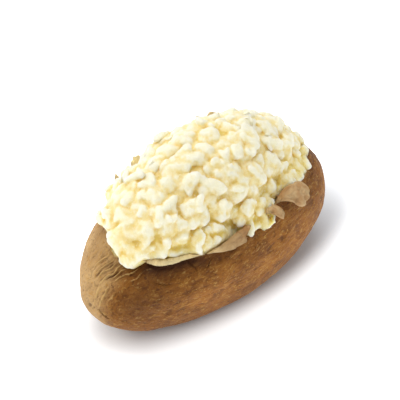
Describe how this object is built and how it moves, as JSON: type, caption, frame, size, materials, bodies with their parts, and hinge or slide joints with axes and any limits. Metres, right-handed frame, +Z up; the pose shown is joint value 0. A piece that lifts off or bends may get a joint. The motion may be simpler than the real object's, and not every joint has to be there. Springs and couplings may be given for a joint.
{
  "type": "baked potato",
  "caption": "Baked potato split along its top and squeezed open, with fluffy crumbled flesh heaped above the torn brown skin.",
  "frame": {"origin": "middle of the potato's bounding box on the surface that it rests on", "axes": "+X along the potato towards its far end, +Z up through the open mouth; the peeled flap is on the -Y side"},
  "size_m": [0.1314, 0.072, 0.0787],
  "materials": {
    "skin": "dry, baked and finely wrinkled",
    "flesh": "moist and crumbly"
  },
  "bodies": {
    "root": {"skin": "skin", "flesh": "flesh"}
  },
  "joints": []
}
